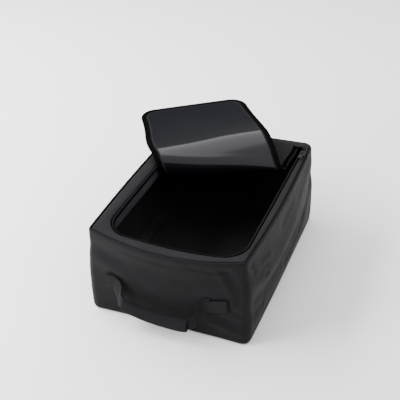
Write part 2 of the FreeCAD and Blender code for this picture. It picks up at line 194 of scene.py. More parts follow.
def grid_faces(rows, columns, offset=0, closed_u=False, flip=False):
    """Quads of a grid as vertex indices and as grid places."""
    faces, places = [], []
    for i in range(rows if closed_u else rows - 1):
        for j in range(columns - 1):
            corners = [(i, j), (i + 1, j), (i + 1, j + 1), (i, j + 1)]
            if flip:
                corners.reverse()
            faces.append([offset + (a % rows) * columns + b for a, b in corners])
            places.append(corners)
    return faces, places


def cloth_sheet(name, points, thickness, closed_u=False, flip=False, level=False):
    """A sheet with real thickness: the grid is its outer face, and the inner face lies behind it."""
    rows, columns = points.shape[:2]
    normals = surface_normals(points, closed_u) * (-1.0 if flip else 1.0)
    if level:
        normals = np.broadcast_to(UPWARD, points.shape)
    inner = points - normals * thickness
    vertices = np.concatenate([points.reshape(-1, 3), inner.reshape(-1, 3)])
    faces, places = grid_faces(rows, columns, 0, closed_u, flip)
    back_faces, back_places = grid_faces(rows, columns, rows * columns, closed_u, not flip)
    faces += back_faces
    places += back_places
    rim = []
    if closed_u:
        rim += [[(i, 0) for i in range(rows)] + [(rows, 0)]]
        rim += [[(i, columns - 1) for i in range(rows, 0, -1)] + [(0, columns - 1)]]
    else:
        loop = [(i, 0) for i in range(rows)] + [(rows - 1, j) for j in range(1, columns)]
        loop += [(i, columns - 1) for i in range(rows - 2, -1, -1)]
        loop += [(0, j) for j in range(columns - 2, -1, -1)]
        rim += [loop]
    for loop in rim:
        for first, second in zip(loop, loop[1:]):
            a = (first[0] % rows) * columns + first[1]
            b = (second[0] % rows) * columns + second[1]
            quad = [b, a, a + rows * columns, b + rows * columns]
            corners = [second, first, first, second]
            faces.append(quad[::-1] if flip else quad)
            places.append(corners[::-1] if flip else corners)
    run_u, run_v = running_length(points, 0), running_length(points, 1)
    if closed_u:
        gap = np.linalg.norm(points[0, columns // 2] - points[-1, columns // 2]) * MM
        run_u = np.append(run_u, run_u[-1] + gap)
    uvs = [(run_u[a], run_v[b]) for corners in places for a, b in corners]
    return mesh_object(name, vertices, faces, uvs)


def finish_piece(piece, material, body=None, replaced=()):
    piece.data.materials.clear()
    piece.data.materials.append(material)
    if body:
        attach(piece, body)
    if replaced:
        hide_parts(*replaced)
    return piece


# ---------------------------------------------------------------- materials
def new_material(name, color, roughness, **sockets):
    material = bpy.data.materials.new(name)
    material.use_nodes = True
    shader = material.node_tree.nodes["Principled BSDF"]
    shader.inputs["Base Color"].default_value = (*color, 1.0)
    shader.inputs["Roughness"].default_value = roughness
    for socket, value in sockets.items():
        shader.inputs[socket.replace("_", " ")].default_value = value
    return material, material.node_tree, shader


def link(tree, source, output, target, socket):
    tree.links.new(source.outputs[output], target.inputs[socket])


def math_node(tree, operation, *inputs):
    """A Math node; each input is a number or a (node, output) pair."""
    node = tree.nodes.new("ShaderNodeMath")
    node.operation = operation
    for index, value in enumerate(inputs):
        if isinstance(value, tuple):
            tree.links.new(value[0].outputs[value[1]], node.inputs[index])
        else:
            node.inputs[index].default_value = value
    return node


def noise_node(tree, place, output, scale, detail):
    """Noise read at one output of the coordinate node."""
    node = tree.nodes.new("ShaderNodeTexNoise")
    node.inputs["Scale"].default_value = scale
    node.inputs["Detail"].default_value = detail
    link(tree, place, output, node, "Vector")
    return node


def spread(tree, source, low, high):
    """A noise's value, spread from low to high."""
    node = tree.nodes.new("ShaderNodeMapRange")
    node.inputs["To Min"].default_value = low
    node.inputs["To Max"].default_value = high
    link(tree, source, "Fac", node, "Value")
    return node


def tint_shader(tree, shader, color, source, output):
    """The base colour, made lighter and darker by a node's value."""
    mix = tree.nodes.new("ShaderNodeVectorMath")
    mix.operation = "SCALE"
    mix.inputs[0].default_value = color
    link(tree, source, output, mix, "Scale")
    link(tree, mix, "Vector", shader, "Base Color")


def bump_shader(tree, shader, source, output, strength, distance):
    bump = tree.nodes.new("ShaderNodeBump")
    bump.inputs["Strength"].default_value = strength
    bump.inputs["Distance"].default_value = distance
    link(tree, source, output, bump, "Height")
    link(tree, bump, "Normal", shader, "Normal")


def thread_wave(tree, coordinates, direction, pitch):
    """Rounded threads side by side, pitch metres apart."""
    wave = tree.nodes.new("ShaderNodeTexWave")
    wave.wave_type = "BANDS"
    wave.bands_direction = direction
    wave.wave_profile = "SIN"
    wave.inputs["Scale"].default_value = math.pi / 10.0 / pitch
    wave.inputs["Distortion"].default_value = 0.0
    tree.links.new(coordinates, wave.inputs["Vector"])
    return wave


def woven(name, color, pitch, roughness, sheen=0.0, depth=0.35, mottle=0.25, rib=None, gloss=0.2):
    """Plain weave: two crossed sets of threads that ride over and under each other, with painted shade where
    they dip.
    """
    material, tree, shader = new_material(name, color, roughness, Sheen_Weight=sheen, Sheen_Roughness=0.45,
                                          Specular_IOR_Level=gloss)
    place = tree.nodes.new("ShaderNodeTexCoord")
    warp = thread_wave(tree, place.outputs["UV"], "X", pitch)
    weft = thread_wave(tree, place.outputs["UV"], "Y", rib or pitch)
    over = math_node(tree, "MAXIMUM", (warp, "Fac"), (weft, "Fac"))
    under = math_node(tree, "MULTIPLY", (warp, "Fac"), (weft, "Fac"))
    weave = math_node(tree, "SUBTRACT", (over, "Value"), (under, "Value"))
    cloud = noise_node(tree, place, "Object", 22.0, 6.0)
    cloud.inputs["Roughness"].default_value = 0.65
    slub = noise_node(tree, place, "UV", 900.0, 2.0)
    ramp = spread(tree, cloud, 1.0 - mottle, 1.0 + mottle)
    ramp.inputs["From Min"].default_value = 0.3
    ramp.inputs["From Max"].default_value = 0.7
    grain = math_node(tree, "MULTIPLY_ADD", (slub, "Fac"), 0.5, 0.75)
    tone = math_node(tree, "MULTIPLY", (ramp, "Result"), (grain, "Value"))
    # Painted shade: the colour is darker where the weave's relief is low, between the threads, where its bump
    # sinks too.
    shade = math_node(tree, "MULTIPLY_ADD", (weave, "Value"), 0.45, 0.72)
    total = math_node(tree, "MULTIPLY", (tone, "Value"), (shade, "Value"))
    tint_shader(tree, shader, color, total, "Value")
    link(tree, spread(tree, cloud, roughness - 0.08, roughness + 0.1), "Result", shader, "Roughness")
    relief = math_node(tree, "MULTIPLY_ADD", (slub, "Fac"), 0.35, (weave, "Value"))
    bump_shader(tree, shader, relief, "Value", depth, pitch * 0.5)
    return material


def coated_lining(name, color):
    """Smooth coated lining: soft gloss, faint creases and a very fine grain."""
    material, tree, shader = new_material(name, color, 0.4, Specular_IOR_Level=0.3)
    place = tree.nodes.new("ShaderNodeTexCoord")
    fine = noise_node(tree, place, "UV", 1500.0, 3.0)
    broad = noise_node(tree, place, "Object", 14.0, 4.0)
    link(tree, spread(tree, broad, 0.16, 0.2), "Result", shader, "Roughness")
    grain = math_node(tree, "MULTIPLY", (fine, "Fac"), 0.08)
    height = math_node(tree, "MULTIPLY_ADD", (broad, "Fac"), 3.0, (grain, "Value"))
    bump_shader(tree, shader, height, "Value", 0.12, 0.0006)
    tint_shader(tree, shader, color, spread(tree, broad, 0.85, 1.15), "Result")
    return material


def moulded(name, color, roughness, metallic=0.0, gloss=0.5):
    """Moulded nylon or painted metal, with small pits."""
    material, tree, shader = new_material(name, color, roughness, Metallic=metallic, Specular_IOR_Level=gloss)
    place = tree.nodes.new("ShaderNodeTexCoord")
    specks = noise_node(tree, place, "Object", 600.0, 5.0)
    link(tree, spread(tree, specks, roughness - 0.1, roughness + 0.12), "Result", shader, "Roughness")
    bump_shader(tree, shader, specks, "Fac", 0.1, 0.0002)
    return material


FABRIC = woven("bag_fabric", (0.0044, 0.0042, 0.0053), 0.0007, 0.62, gloss=0.1, sheen=0.02)
# Painted light: the top border's fabric is the walls' fabric made about twice as light, so that the
# upward-facing top looks brighter; the lid's binding uses it too.
TOP_FABRIC_PAINTED_LIGHTER = woven("border_fabric_painted_lighter", (0.0088, 0.0084, 0.01), 0.0007, 0.6, gloss=0.1, sheen=0.02)
INNER = woven("inner_lining", (0.012, 0.012, 0.0135), 0.0005, 0.55, depth=0.2)
GLOSSY = coated_lining("lid_lining", (0.003, 0.003, 0.0048))
TAPE = woven("zip_tape", (0.0014, 0.0014, 0.0017), 0.0009, 0.85, gloss=0.02, rib=0.0005, depth=0.5)
WEBBING = woven("webbing", (0.0052, 0.005, 0.0062), 0.0011, 0.62, rib=0.0022, gloss=0.1, sheen=0.02,
                depth=0.6)
THREAD = woven("sewing_thread", (0.011, 0.011, 0.012), 0.0003, 0.6, depth=0.3)
COIL = moulded("zip_coil", (0.0025, 0.0025, 0.003), 0.5, gloss=0.12)
# Painted light: the facing inside the opening is painted about four times as light as the inner lining, so
# that the strip down the inside of the rim looks lit.
FACING_PAINTED_LIGHTER = woven("opening_facing", (0.05, 0.05, 0.056), 0.0006, 0.6, depth=0.2, gloss=0.15)
METAL = moulded("slider_metal", (0.022, 0.022, 0.025), 0.32, metallic=0.9)


# ---------------------------------------------------------------- outlines
SIDE_STEPS = 90
END_STEPS = 64
CORNER_STEPS = 12


def outline(x_low, x_high, y_low, y_high, front_radius, back_radius):
    """A rectangle with rounded corners, anticlockwise from the front-left, as matching points."""
    spans = []

    def corner(cx, cy, radius, start):
        angles = np.radians(start + 90.0 * np.arange(CORNER_STEPS) / CORNER_STEPS)
        spans.append(np.stack([cx + radius * np.cos(angles), cy + radius * np.sin(angles)], 1))

    def side(first, last, steps):
        share = np.arange(steps)[:, None] / steps
        spans.append(np.array(first) * (1 - share) + np.array(last) * share)

    side((x_low + front_radius, y_low), (x_high - front_radius, y_low), END_STEPS)
    corner(x_high - front_radius, y_low + front_radius, front_radius, -90.0)
    side((x_high, y_low + front_radius), (x_high, y_high - back_radius), SIDE_STEPS)
    corner(x_high - back_radius, y_high - back_radius, back_radius, 0.0)
    side((x_high - back_radius, y_high), (x_low + back_radius, y_high), END_STEPS)
    corner(x_low + back_radius, y_high - back_radius, back_radius, 90.0)
    side((x_low, y_high - back_radius), (x_low, y_low + front_radius), SIDE_STEPS)
    corner(x_low + front_radius, y_low + front_radius, front_radius, 180.0)
    return np.concatenate(spans)


def bag_ring(inset, z):
    """One level line of the bag, drawn in by inset, before it slumps."""
    radius = max(5.0 + 9.0 * (1.0 - min(z / HEIGHT, 1.0)) ** 0.7 - inset, 1.5)
    half_x, half_y = HALF_X - inset, HALF_Y - inset
    flat = outline(-half_x, half_x, -half_y, half_y, radius, BACK_RADIUS - inset)
    return stack(flat[:, 0], flat[:, 1], z)


def opening_ring(reveal, z):
    """The rim of the opening, reveal outside the zip line, before it slumps."""
    flat = outline(ZIP_LEFT - reveal, ZIP_RIGHT + reveal, ZIP_FRONT - reveal, HINGE_Y,
                   ZIP_RADIUS + reveal, 3.0)
    return stack(flat[:, 0], flat[:, 1], z)


def zip_path(reveal, rear=None, spacing=4.0):
    """The open line of the zip from the left rear round the front to the right rear."""
    rear = ZIP_REAR if rear is None else rear
    x_low, x_high, y_low = ZIP_LEFT - reveal, ZIP_RIGHT + reveal, ZIP_FRONT - reveal
    radius = ZIP_RADIUS + reveal
    left = np.linspace(rear, y_low + radius, int((rear - y_low - radius) / spacing))
    front = np.linspace(x_low + radius, x_high - radius, int((x_high - x_low - 2 * radius) / spacing))
    turn = np.radians(np.linspace(0, 90, 16)[1:-1])
    parts = [np.stack([np.full_like(left, x_low), left], 1),
             np.stack([x_low + radius - radius * np.cos(turn), y_low + radius - radius * np.sin(turn)], 1),
             np.stack([front, np.full_like(front, y_low)], 1),
             np.stack([x_high - radius + radius * np.sin(turn), y_low + radius - radius * np.cos(turn)], 1),
             np.stack([np.full_like(left, x_high), left[::-1]], 1)]
    return np.concatenate(parts)


# ---------------------------------------------------------------- bag body
SHOULDER = [(0.0, 141.0), (0.0, 144.5), (0.3, 146.6), (1.0, 148.3), (2.0, 149.1),
            (3.0, 148.7), (3.5, 147.4), (3.7, 145.6)]
SEAM_INSET = 3.7
FOOT = [(14.0, 0.2), (9.0, 0.2), (5.0, 0.3), (2.6, 0.9), (1.1, 2.1), (0.3, 4.2), (0.0, 7.0)]


def unevenness(points, amplitude, size):
    """Slow random unevenness of cloth, the same each time."""
    flat = points.reshape(-1, 3)
    values = np.array([noise.noise(Vector(p / size)) for p in flat])
    return (values * amplitude).reshape(points.shape[:-1])


RIGHT_RIDGE = [(150, 128), (96, 114), (23, 88), (-62, 80), (-120, 92), (-172, 108)]
RIGHT_HOLLOW = [(160, 96), (92, 62), (0, 58), (-96, 60), (-160, 72)]
RIGHT_LOW_RIDGE = [(120, 40), (20, 30), (-80, 34), (-165, 40)]
FRONT_FOLDS = [([(-60, 138), (-20, 132), (20, 134)], 5, -1.2), ([(40, 137), (70, 131), (96, 134)], 4, -1.4),
               ([(-100, 100), (-60, 84), (-10, 80)], 12, 1.6), ([(60, 52), (88, 40), (112, 36)], 6, -2.0),
               ([(70, 30), (96, 22), (114, 20)], 5, 1.8),
               ([(-112, 120), (-60, 112), (-10, 110)], 14, -1.6),
               ([(92, 136), (104, 112), (106, 80)], 5, -2.2),
               ([(80, 130), (92, 104), (96, 76)], 5, 1.4), ([(20, 100), (70, 112), (100, 122)], 11, -1.6),
               ([(84, 62), (104, 58), (116, 50)], 4, -1.4)]
RIGHT_FOLDS = [(RIGHT_RIDGE, 15, 2.6), (RIGHT_HOLLOW, 11, -2.4), (RIGHT_LOW_RIDGE, 12, 1.6),
               ([(-166, 136), (-152, 108), (-116, 88)], 5, -2.8),
               ([(-160, 128), (-136, 116), (-96, 108)], 5, 1.4),
               ([(-174, 70), (-156, 50), (-126, 40)], 6, -2.2),
               ([(-170, 46), (-150, 30), (-120, 22)], 5, 1.4),
               ([(60, 140), (20, 128), (-30, 122)], 8, -1.4), ([(130, 70), (60, 42), (-20, 40)], 7, -1.6)]


def fold_lines(points, axis, folds):
    """Soft folds along listed lines on a wall, seen square on; axis is the wall's normal axis."""
    keep = [i for i in range(3) if i != axis]
    flat = points[..., keep]
    relief = np.zeros(points.shape[:-1])
    for line, width, depth in folds:
        line = np.array(line, float)
        nearest = np.full(points.shape[:-1], 1e9)
        for start, end in zip(line, line[1:]):
            run = end - start
            share = np.clip(((flat - start) @ run) / (run @ run), 0.0, 1.0)
            nearest = np.minimum(nearest, np.linalg.norm(flat - start - share[..., None] * run, axis=-1))
        relief = relief + depth * np.exp(-(nearest / width) ** 2)
    return relief


def wall_relief(points):
    """Unevenness and folds of the walls, along the outward normal."""
    relief = unevenness(points, 1.3, 62.0) + unevenness(points, 0.35, 21.0)
    x, y = points[..., 0], points[..., 1]
    on_right = smooth(0.9, 1.0, x / HALF_X) * (0.25 + 0.75 * smooth(3.0, 34.0, HALF_Y + y))
    on_front = smooth(0.93, 1.0, -y / HALF_Y) * (0.25 + 0.75 * smooth(3.0, 34.0, HALF_X - x))
    relief = relief + on_right * fold_lines(points, 0, RIGHT_FOLDS)
    relief = relief + on_front * fold_lines(points, 1, FRONT_FOLDS)
    up = points[..., 2] / HEIGHT
    return relief * smooth(0.0, 0.12, up) * (1.0 - smooth(0.86, 0.96, up))


def bag_walls():
    heights = np.concatenate([[7.0], np.linspace(11.0, 136.0, 46), [140.0]])
    profile = FOOT[:-1] + [(0.0, z) for z in heights[:-1]] + SHOULDER
    flat = np.stack([bag_ring(inset, z) for inset, z in profile], 1)
    soft = settle(flat)
    normals = surface_normals(soft, True)
    soft = soft + normals * wall_relief(flat)[..., None]
    piece = cloth_sheet("bag_wall", soft, 1.6, closed_u=True)
    finish_piece(piece, FABRIC, "bag", ("wall_band", "back_wall"))
    return soft


BORDER_ROWS = [(0.02, -3.8), (0.045, -2.2), (0.085, -0.8), (0.13, -0.1)]
BORDER_ROWS += [(share, 0.0) for share in np.linspace(0.18, 0.86, 13)]
BORDER_ROWS += [(0.93, -0.1), (0.975, -0.6), (1.0, -1.4), (0.99, -2.3), (0.93, -2.9), (0.8, -3.0)]
HEM_ROW = len(BORDER_ROWS) - 9


def bag_border():
    outer = settle(bag_ring(SEAM_INSET, HEIGHT - 0.9))
    inner = settle_opening(opening_ring(BORDER_REVEAL, HEIGHT - 0.9))
    rows = []
    for share, lift in BORDER_ROWS:
        row = outer * (1 - share) + inner * share
        row[:, 2] += lift + 1.3 * math.sin(math.pi * share)
        rows.append(row)
    soft = np.stack(rows, 1)
    soft[..., 2] += unevenness(soft, 0.6, 40.0)
    piece = cloth_sheet("bag_border", soft, 0.9, closed_u=True)
    # The border wears the fabric painted lighter, for the light on the top.
    finish_piece(piece, TOP_FABRIC_PAINTED_LIGHTER, "bag", ("top_border", "top_padding", "top_facing"))
    stitch_row("border_hem_stitches", soft[:, HEM_ROW], 3.4, body="bag")


LINING_INSET = 5.0


def bag_lining():
    profile = [(10.0, HEIGHT - 5.0), (7.5, HEIGHT - 5.2), (LINING_INSET + 0.6, HEIGHT - 7.5)]
    profile += [(LINING_INSET, z) for z in np.linspace(HEIGHT - 12.0, 12.0, 30)]
    profile += [(LINING_INSET + 1.2, 8.0), (9.0, LINING_FLOOR + 0.9), (17.0, LINING_FLOOR + 0.5)]
    flat = np.stack([bag_ring(inset, z) for inset, z in profile], 1)
    soft = settle(flat)
    normals = surface_normals(soft, True)
    soft = soft + normals * (unevenness(flat, 1.4, 45.0) * smooth(8.0, 30.0, flat[..., 2]))[..., None]
    piece = cloth_sheet("bag_lining", soft, 0.7, closed_u=True)
    finish_piece(piece, INNER, "bag", ("wall_lining", "top_seam_tape", "base_seam_tape"))


def slab_in_outline(name, inset, low, high, wave):
    """A flat panel that fills the plan outline, made of rings that shrink to a middle line."""
    shares = np.linspace(0.0, 1.0, 26)
    outer = bag_ring(inset, 0.0)
    inner = outer * np.array([0.0, 0.3, 1.0])
    flat = np.stack([outer * (1 - share) + inner * share for share in shares], 1)
    soft = settle(flat)
    soft[..., 2] = high + unevenness(flat + high, wave, 60.0) * smooth(0.0, 0.1, shares)[None, :]
    piece = cloth_sheet(name, soft, high - low, closed_u=True, level=True)
    match_normals(piece, np.broadcast_to(UPWARD, soft.shape))
    return piece


def bag_floor():
    piece = slab_in_outline("bag_floor_lining", 6.0, LINING_FLOOR - 2.0, LINING_FLOOR, 0.6)
    finish_piece(piece, INNER, "bag", ("base_lining", "base_board"))
    under = slab_in_outline("bag_underside", 9.0, 0.1, 1.4, 0.0)
    finish_piece(under, FABRIC, "bag", ("base_panel",))


def stitch_row(name, line, pitch, body=None, thickness=0.45, proud=0.1):
    """A row of stitches: short, slightly raised threads laid end to end with small gaps."""
    length = np.linalg.norm(np.diff(line, axis=0), axis=1).sum()
    ends = resample(line, max(int(length / pitch) * 2, 4))
    vertices, faces = [], []
    for start, end in zip(ends[0::2], ends[1::2]):
        run = end - start
        run = run / max(np.linalg.norm(run), 1e-6)
        side = np.cross(run, UPWARD)
        side = side / max(np.linalg.norm(side), 1e-6)
        lift = np.cross(side, run)
        first = len(vertices)
        middle = (start + end) / 2
        for centre, size in ((start - run * 0.25, 0.35), (middle, 1.0), (end + run * 0.25, 0.35)):
            for turn in range(6):
                angle = turn * math.pi / 3
                ring = side * math.cos(angle) + lift * math.sin(angle)
                vertices.append(centre + lift * proud * size + ring * thickness / 2 * size * 1.4)
        for band in range(2):
            for turn in range(6):
                a, b = first + band * 6 + turn, first + band * 6 + (turn + 1) % 6
                faces.append((a, b, b + 6, a + 6))
        faces.append(tuple(first + turn for turn in range(5, -1, -1)))
        faces.append(tuple(first + 12 + turn for turn in range(6)))
    piece = mesh_object(name, np.array(vertices), faces)
    return finish_piece(piece, THREAD, body)


# ---------------------------------------------------------------- zip on the bag
def path_normals(path):
    """Sideways directions of a plan path, pointing away from the opening's middle."""
    tangent = np.gradient(path, axis=0)
    tangent /= np.linalg.norm(tangent, axis=1, keepdims=True)
    side = np.stack([tangent[:, 1], -tangent[:, 0]], 1)
    middle = path.mean(axis=0)
    flip = np.sign(((path - middle) * side).sum(axis=1))
    return side * flip[:, None]


TAPE_ROWS = [(9.0, -3.0), (6.0, -3.2), (3.6, -3.6), (2.0, -3.6), (0.6, -2.6), (-0.8, -2.2),
             (-2.2, -2.6), (-3.6, -3.6)]
FACING_ROWS = [(3.0, -4.4), (1.0, -5.0), (0.6, -9.0), (0.0, -16.0), (0.0, -23.0), (1.6, -29.0)]


def bag_zip_tape():
    """The bag's half of the zip tape: it dives under the border's hem and folds down into the bag."""
    rows = []
    for reveal, lift in TAPE_ROWS:
        path = resample(zip_path(reveal, HINGE_Y - 2.0), 330)
        rows.append(stack(path[:, 0], path[:, 1], HEIGHT + lift))
    soft = settle_opening(np.stack(rows, 1))
    piece = cloth_sheet("bag_zip_tape_cloth", soft, 0.6)
    finish_piece(piece, TAPE, "bag", ("bag_zip_tape",))
    # The facing inside the opening, which wears the lining painted lighter so that it looks lit.
    rows = []
    for reveal, lift in FACING_ROWS:
        path = resample(zip_path(reveal, HINGE_Y - 3.0), 330)
        rows.append(stack(path[:, 0], path[:, 1], HEIGHT + lift))
    soft = settle_opening(np.stack(rows, 1))
    piece = cloth_sheet("opening_facing", soft, 0.6)
    finish_piece(piece, FACING_PAINTED_LIGHTER, "bag")


def resample(points, count):
    """The same line with evenly spaced points."""
    steps = np.concatenate([[0.0], np.cumsum(np.linalg.norm(np.diff(points, axis=0), axis=1))])
    wanted = np.linspace(0.0, steps[-1], count)
    return np.stack([np.interp(wanted, steps, points[:, axis]) for axis in range(points.shape[1])], 1)


TOOTH_PITCH = 2.0
TOOTH = np.array([(0.0, -0.42, 0.0), (0.0, 0.42, 0.0), (0.0, 0.5, 0.9), (0.0, -0.5, 0.9),
                  (1.5, -0.5, -0.05), (1.5, 0.5, -0.05), (1.5, 0.62, 1.5), (1.5, -0.62, 1.5),
                  (3.0, -0.34, 0.1), (3.0, 0.34, 0.1), (3.0, 0.4, 0.95), (3.0, -0.4, 0.95)])
TOOTH_FACES = [(0, 1, 2, 3), (11, 10, 9, 8), (0, 4, 5, 1), (1, 5, 6, 2), (2, 6, 7, 3), (3, 7, 4, 0),
               (4, 8, 9, 5), (5, 9, 10, 6), (6, 10, 11, 7), (7, 11, 8, 4)]


def coil_teeth(name, line, across, up):
    """Coil teeth along a 3-D line; across points from the free edge on to the tape, up off the tape."""
    length = np.linalg.norm(np.diff(line, axis=0), axis=1).sum()
    count = max(int(length / TOOTH_PITCH), 2)
    centres, sides, rises = (resample_like(line, values, count) for values in (line, across, up))
    sides /= np.linalg.norm(sides, axis=1, keepdims=True)
    rises /= np.linalg.norm(rises, axis=1, keepdims=True)
    forwards = np.cross(rises, sides)
    vertices, faces = [], []
    for centre, side, rise, forward in zip(centres, sides, rises, forwards):
        start = len(vertices)
        for out, run, lift in TOOTH:
            vertices.append(centre + side * out + forward * run + rise * lift)
        faces += [tuple(start + index for index in face) for face in TOOTH_FACES]
    return mesh_object(name, np.array(vertices), faces)


def resample_like(line, values, count):
    """Values given along a line, at evenly spaced places of that line."""
    steps = np.concatenate([[0.0], np.cumsum(np.linalg.norm(np.diff(line, axis=0), axis=1))])
    wanted = np.linspace(0.0, steps[-1], count)
    return np.stack([np.interp(wanted, steps, values[:, axis]) for axis in range(3)], 1)


COIL_REVEAL = -2.0


def bag_coil():
    edge = zip_path(COIL_REVEAL)
    side = path_normals(edge)
    line = settle_opening(stack(edge[:, 0], edge[:, 1], HEIGHT - 2.6))
    rim = settle_opening(stack(edge[:, 0] + side[:, 0] * 3, edge[:, 1] + side[:, 1] * 3, HEIGHT - 1.6))
    across = rim - line
    up = np.cross(across, np.gradient(line, axis=0))
    up *= np.sign(up[:, 2:3])
    piece = coil_teeth("bag_coil_teeth", line, across, up)
    finish_piece(piece, COIL, "bag", ("bag_zip_coil",))


# ---------------------------------------------------------------- lid
def turned_back(x, run, z):
    """Where a point of the flat, shut lid lies at rest: x from its middle, run from the rear seam."""
    x, run, z = np.broadcast_arrays(np.asarray(x, float), np.asarray(run, float), np.asarray(z, float))
    forward = x * math.sin(SKEW) + run * math.cos(SKEW)
    ruling = x * math.cos(SKEW) - run * math.sin(SKEW)
    share = np.clip((forward - ROLL_START) / (ROLL_END - ROLL_START), 0.0, 1.0)
    turn = share * FOLD * FOLD_COUNT
    radius = ROLL_RADIUS + FOLD_LEVEL - z
    past = np.maximum(forward - ROLL_END, 0.0)
    reach = np.minimum(forward, ROLL_START) + radius * np.sin(turn) + past * np.cos(turn)
    level = FOLD_LEVEL + ROLL_RADIUS - radius * np.cos(turn) + past * np.sin(turn)
    across = ruling * math.cos(SKEW) + reach * math.sin(SKEW)
    back = ruling * math.sin(SKEW) - reach * math.cos(SKEW)
    return droop(LID_SHIFT + across, -back, level, run)


def droop(x, ahead, z, run):
    """The lid hangs from its rear seam, with the bend spread over the first few millimetres."""
    bend = SEAM_RUN / math.tan(DROOP / 2)
    bent = run >= 2 * SEAM_RUN
    share = np.where(bent, 1.0, np.clip(run / (2 * SEAM_RUN), 0.0, 1.0))
    turn = share * DROOP
    radius = bend + z - FOLD_LEVEL
    past = np.where(bent, ahead - 2 * SEAM_RUN, 0.0)
    start = np.where(run < 0, ahead, 0.0)
    y = HINGE_Y - start - radius * np.sin(turn) - past * np.cos(turn)
    level = FOLD_LEVEL - bend + radius * np.cos(turn) - past * np.sin(turn)
    return stack(x, y, level)


CREASE_MIDDLE = 40.0
CREASE_SLOPE = 0.34
CREASE_TILT = 0.06
CREASE_RADIUS = 140.0


def lid_place(x, run):
    """x and run as matching arrays, and their distance from the seam square to the oblique folds."""
    x, run = np.broadcast_arrays(np.asarray(x, float), np.asarray(run, float))
    return x, run, x * math.sin(SKEW) + run * math.cos(SKEW)


def sag(x, run):
    """How far the turned-back lid sinks past a soft crease above its roll."""
    x, _, forward = lid_place(x, run)
    edge = ROLL_END + CREASE_MIDDLE + CREASE_SLOPE * x
    distance = np.maximum(edge - np.maximum(forward, ROLL_END), 0.0)
    drop = CREASE_TILT * np.maximum(distance - 2.5, 0.0) + distance ** 2 / (2 * CREASE_RADIUS)
    reach = np.maximum(edge - ROLL_END, 0.0)
    end_slope = CREASE_TILT * (reach > 2.5) + reach / CREASE_RADIUS
    turn_rate = FOLD * FOLD_COUNT / (ROLL_END - ROLL_START)
    past = np.clip(ROLL_END - forward, 0.0, end_slope / turn_rate)
    drop = drop + end_slope * past - turn_rate * past ** 2 / 2
    return drop * smooth(ROLL_START, ROLL_END - 8.0, forward)


def lift(x, run):
    """How the right side of the roll is held up, and how the free edge leans the other way."""
    x, run, forward = lid_place(x, run)
    held = 13.0 * smooth(-60.0, LID_HALF, x) * smooth(10.0, 80.0, run)
    held = held * (1.0 - smooth(ROLL_START + 35.0, ROLL_END + 90.0, forward))
    return held - 0.035 * x * smooth(ROLL_END + 60.0, ROLL_END + 170.0, forward)


def outward_bow(x, run):
    """The rolled part of the soft lid bows outward at both of its edges."""
    x, _, forward = lid_place(x, run)
    swell = np.exp(-((forward - ROLL_END - 28.0) / 46.0) ** 2)
    right = np.exp(-((forward - ROLL_END - 75.0) / 50.0) ** 2)
    return 5.0 * right * smooth(0.0, LID_HALF, x) - 9.0 * swell * smooth(0.0, LID_HALF, -x)


def lid_point(x, run, z):
    """The lid at rest, with the small slackness of cloth added."""
    place = turned_back(x, run, z)
    flat = stack(LID_SHIFT + x, HINGE_Y - run, z)
    rear = (settle_opening(flat) - flat) * (1.0 - smooth(0.0, 70.0, run))[..., None]
    place[..., 2] += lift(x, run) - sag(x, run)
    place[..., 0] += outward_bow(x, run)
    return place + rear


def lid_normals(x, run, z):
    """Normals of the lid's upper cloth, from its even shape, so that joined stretches match."""
    def even_point(x_place, run_place):
        place = turned_back(x_place, run_place, z)
        place[..., 2] -= sag(x_place, run_place)
        return place

    step = 0.4
    along_x = even_point(x + step, run) - even_point(x - step, run)
    along_run = even_point(x, run + step) - even_point(x, run - step)
    normals = np.cross(along_run, along_x)
    return normals / np.linalg.norm(normals, axis=-1, keepdims=True)


def match_normals(piece, outer_normals):
    """Give both faces of a sheet the normals of the surface it was cut from."""
    both = np.concatenate([outer_normals.reshape(-1, 3), -outer_normals.reshape(-1, 3)])
    piece.data.normals_split_custom_set_from_vertices(both.tolist())


def cut_run(x, forward):
    """Distance from the rear seam to an oblique fold line, at x."""
    return (forward - x * math.sin(SKEW)) / math.cos(SKEW)


def free_edge(x, half, length, radius):
    """Distance from the rear seam to the lid's rounded free edge, at x."""
    over = np.clip(np.abs(x) - (half - radius), 0.0, radius)
    return length - radius + np.sqrt(np.maximum(radius ** 2 - over ** 2, 0.0))


CUTS = [ROLL_START + PITCH * step for step in range(FOLD_COUNT + 1)]
STATIONS = ["", "root", "roll_1", "roll_2", "roll_3", "", "main"]
REAR_CUT = 10.0
LID_JOINS = [("hinge", "bag", "flap_root"), ("root", "flap_root", None),
             ("roll_a", "flap_root", "flap_roll_1"), ("roll_b", "flap_roll_1", "flap_roll_2"),
             ("roll_c", "flap_roll_2", "flap_roll_3"), ("roll_d", "flap_roll_3", "flap_main"),
             ("end", "flap_main", None)]
JOIN_NAMES = [join[0] for join in LID_JOINS]
LAST_JOIN = len(LID_JOINS) - 1
JOIN_ROWS = {0: 10, 1: 34, LAST_JOIN: 70}
ROLL_ROWS = 13


def join_limits(index, x):
    """Where the cloth of one join starts and ends, as distances from the rear seam, at x."""
    if index == 0:
        return np.full_like(x, -1.5), np.full_like(x, REAR_CUT)
    if index == 1:
        return np.full_like(x, REAR_CUT), cut_run(x, CUTS[0])
    if index < LAST_JOIN:
        return cut_run(x, CUTS[index - 2]), cut_run(x, CUTS[index - 1])
    return cut_run(x, CUTS[-1]), None


